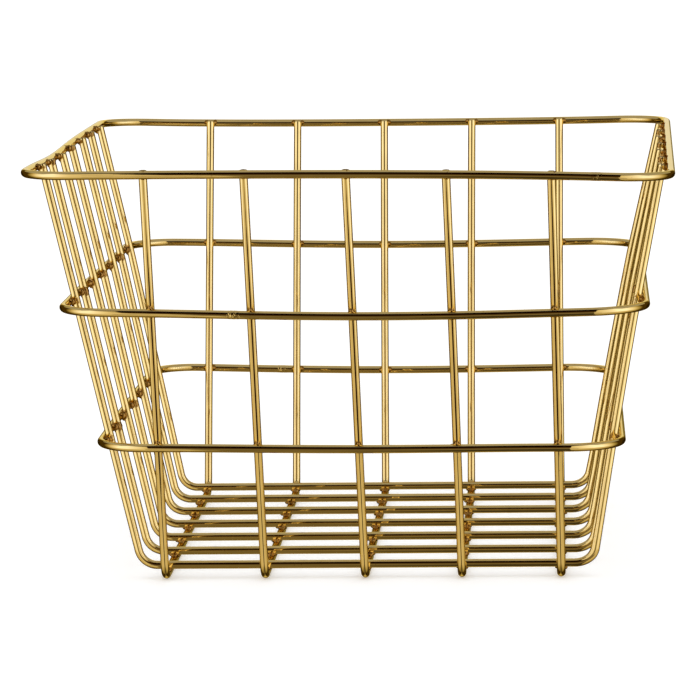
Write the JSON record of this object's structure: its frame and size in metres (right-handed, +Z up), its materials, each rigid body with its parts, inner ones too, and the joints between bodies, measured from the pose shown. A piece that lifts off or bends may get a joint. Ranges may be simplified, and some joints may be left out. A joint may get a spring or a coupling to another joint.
{
  "type": "wire locker basket",
  "caption": "Open rectangular basket of crossed, welded round wire with leaning sides and three rings, for holding clothes and shoes in a locker or rack.",
  "frame": {"origin": "centre of the rim's outline, on the surface that the basket stands on", "axes": "+Z up, +X to the right along the short side of the rim, and the front faces -Y"},
  "size_m": [0.305, 0.3302, 0.2002],
  "materials": {
    "gold_wire": "polished",
    "weld": "satin",
    "ring_joint": "satin"
  },
  "bodies": {
    "root": {"rim_ring": "gold_wire", "middle_ring": "gold_wire", "lower_ring": "gold_wire", "cross_wire_1": "gold_wire", "cross_wire_2": "gold_wire", "cross_wire_3": "gold_wire", "cross_wire_4": "gold_wire", "cross_wire_5": "gold_wire", "cross_wire_6": "gold_wire", "cross_wire_7": "gold_wire", "long_wire_1": "gold_wire", "long_wire_2": "gold_wire", "long_wire_3": "gold_wire", "long_wire_4": "gold_wire", "long_wire_5": "gold_wire", "rim_welds": "weld", "middle_ring_welds": "weld", "lower_ring_welds": "weld", "floor_welds": "weld", "ring_joints": "ring_joint"}
  },
  "joints": []
}
